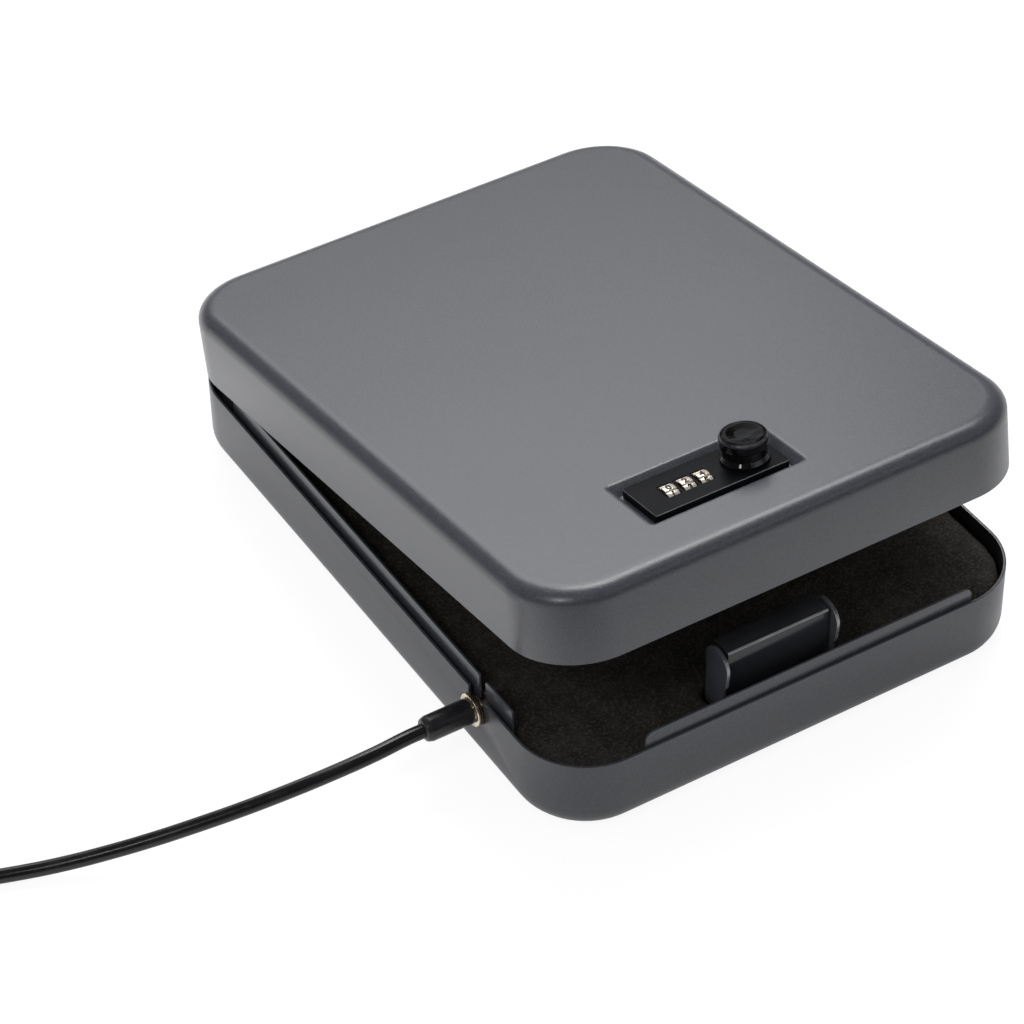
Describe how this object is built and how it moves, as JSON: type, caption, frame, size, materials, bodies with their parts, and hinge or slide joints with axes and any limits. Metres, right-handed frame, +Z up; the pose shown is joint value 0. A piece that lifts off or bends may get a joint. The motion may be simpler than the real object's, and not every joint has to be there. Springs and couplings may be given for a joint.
{
  "type": "portable car safe",
  "caption": "Low sheet-steel safe with round corners, a rear-hinged lid held ajar, a recessed dial lock with a turning knob, foam inside and a coated security cable.",
  "frame": {"origin": "the middle of the underside, on the surface that the safe stands on", "axes": "+X to the right along the hinge, -Y towards the lock side, +Z up; the lid is 9.5 degrees open at rest"},
  "size_m": [0.4774, 0.2994, 0.1177],
  "materials": {
    "shell": "grey powder coat, satin, fine texture",
    "foam": "black open-cell foam, matt",
    "black_steel": "black coat, half matt",
    "zinc": "bright zinc plate",
    "faceplate": "black coat, satin",
    "knob": "black, polished",
    "dial": "pale nickel plate with dark numbers",
    "brass": "polished",
    "vinyl": "black vinyl skin, glossy"
  },
  "bodies": {
    "base": {"base_shell": "shell", "front_lip": "shell", "left_lip_long": "shell", "left_lip_short": "shell", "right_lip": "shell", "base_foam": "foam", "strike_bracket": "black_steel", "strike_rivet_1": "zinc", "strike_rivet_2": "zinc", "hinge_leaf_base": "black_steel", "hinge_pin": "zinc", "hinge_rivet_base_1": "zinc", "hinge_rivet_base_2": "zinc", "hinge_rivet_base_3": "zinc", "cable_fitting": "brass", "cable_washer": "brass", "cable_sleeve": "vinyl", "cable_run": "vinyl", "cable_coil": "vinyl", "cable_tail": "vinyl", "cable_ferrule": "zinc", "cable_eye": "vinyl"},
    "lid": {"lid_shell": "shell", "lid_foam": "foam", "hinge_leaf_lid": "black_steel", "hinge_rivet_lid_1": "zinc", "hinge_rivet_lid_2": "zinc", "hinge_rivet_lid_3": "zinc", "lock_faceplate": "faceplate", "lock_body": "zinc", "lock_backplate": "zinc", "lock_screw_1": "zinc", "lock_screw_2": "zinc", "dial_shaft": "zinc", "dial_detent_spring": "zinc"},
    "left_dial": {"dial_1": "dial"},
    "middle_dial": {"dial_2": "dial"},
    "right_dial": {"dial_3": "dial"},
    "knob_and_cam": {"knob": "knob", "knob_spindle": "zinc", "lock_cam": "zinc", "cam_washer": "zinc", "cam_screw": "zinc"}
  },
  "joints": [
    {"name": "lid_hinge", "type": "hinge", "parent": "base", "child": "lid", "pos_m": [0, 0.1499, 0.03365], "axis": [-1, 0, 0], "range_deg": [-9.5, 85.5]},
    {"name": "knob_turn", "type": "hinge", "parent": "lid", "child": "knob_and_cam", "pos_m": [0.0031, -0.09801, 0.1057], "axis": [0, 0.165, 0.9863], "range_deg": [0, 90]},
    {"name": "left_dial_spin", "type": "hinge", "parent": "lid", "child": "left_dial", "pos_m": [-0.03039, -0.09893, 0.10018], "axis": [1, 0, 0], "continuous": true},
    {"name": "middle_dial_spin", "type": "hinge", "parent": "lid", "child": "middle_dial", "pos_m": [-0.0231, -0.09893, 0.10018], "axis": [1, 0, 0], "continuous": true},
    {"name": "right_dial_spin", "type": "hinge", "parent": "lid", "child": "right_dial", "pos_m": [-0.01581, -0.09893, 0.10018], "axis": [1, 0, 0], "continuous": true}
  ]
}
